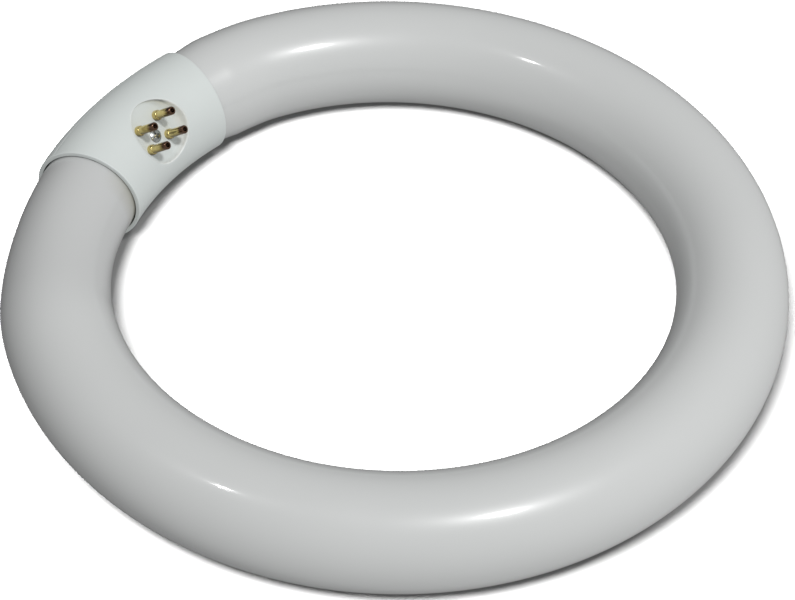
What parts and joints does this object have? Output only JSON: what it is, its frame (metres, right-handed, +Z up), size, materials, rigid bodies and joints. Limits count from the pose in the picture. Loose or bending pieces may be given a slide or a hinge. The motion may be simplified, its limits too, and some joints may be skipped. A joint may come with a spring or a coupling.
{
  "type": "circular fluorescent tube",
  "caption": "Ring-shaped fluorescent lamp tube of white glass, joined by a curved plastic cap whose brass contact pins lean inwards.",
  "frame": {"origin": "middle of the ring, on the surface the lamp lies on", "axes": "+Z up, square to the ring's plane; +Y away from the picture's camera; the cap's middle lies at 147.7 degrees from +X towards +Y"},
  "size_m": [0.2075, 0.2094, 0.0306],
  "materials": {
    "glass": "gloss, opaque white",
    "cap": "satin",
    "pin": "worn bright",
    "screw": "zinc bright",
    "wire": "bare drawn"
  },
  "bodies": {
    "root": {"glass_tube": "glass", "cap_pin_half": "cap", "cap_back_half": "cap", "cap_screw": "screw", "contact_pin_1": "pin", "contact_pin_2": "pin", "contact_pin_3": "pin", "contact_pin_4": "pin", "lead_wire_1": "wire", "lead_wire_2": "wire", "lead_wire_3": "wire", "lead_wire_4": "wire"}
  },
  "joints": []
}
